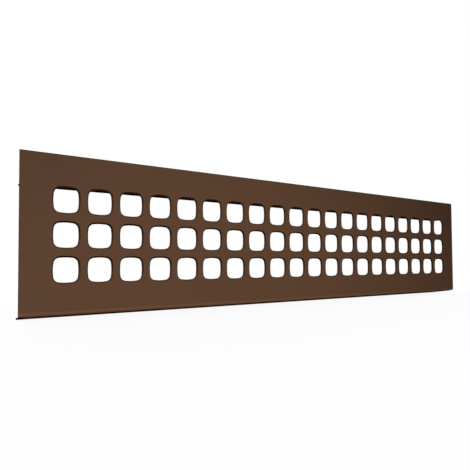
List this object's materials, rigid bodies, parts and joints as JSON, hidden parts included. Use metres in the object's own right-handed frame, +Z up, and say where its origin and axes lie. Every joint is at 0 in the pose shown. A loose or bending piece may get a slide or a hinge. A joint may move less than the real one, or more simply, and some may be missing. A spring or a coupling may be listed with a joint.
{
  "type": "ventilation grille",
  "caption": "Long brown face plate with rows of rounded square air holes, a rounded lower edge and legs at the back that go into a cut-out.",
  "frame": {"origin": "middle of the hole field, in the plane of the face's back, which seats on the panel", "axes": "+X along the length, to the right as seen from the front; +Y from the face towards its back, the way the legs go into the cut-out; +Z up"},
  "size_m": [0.474, 0.0254, 0.1044],
  "materials": {
    "brown_coat": "satin brown powder coat on aluminium"
  },
  "bodies": {
    "root": {"grille": "brown_coat"}
  },
  "joints": []
}
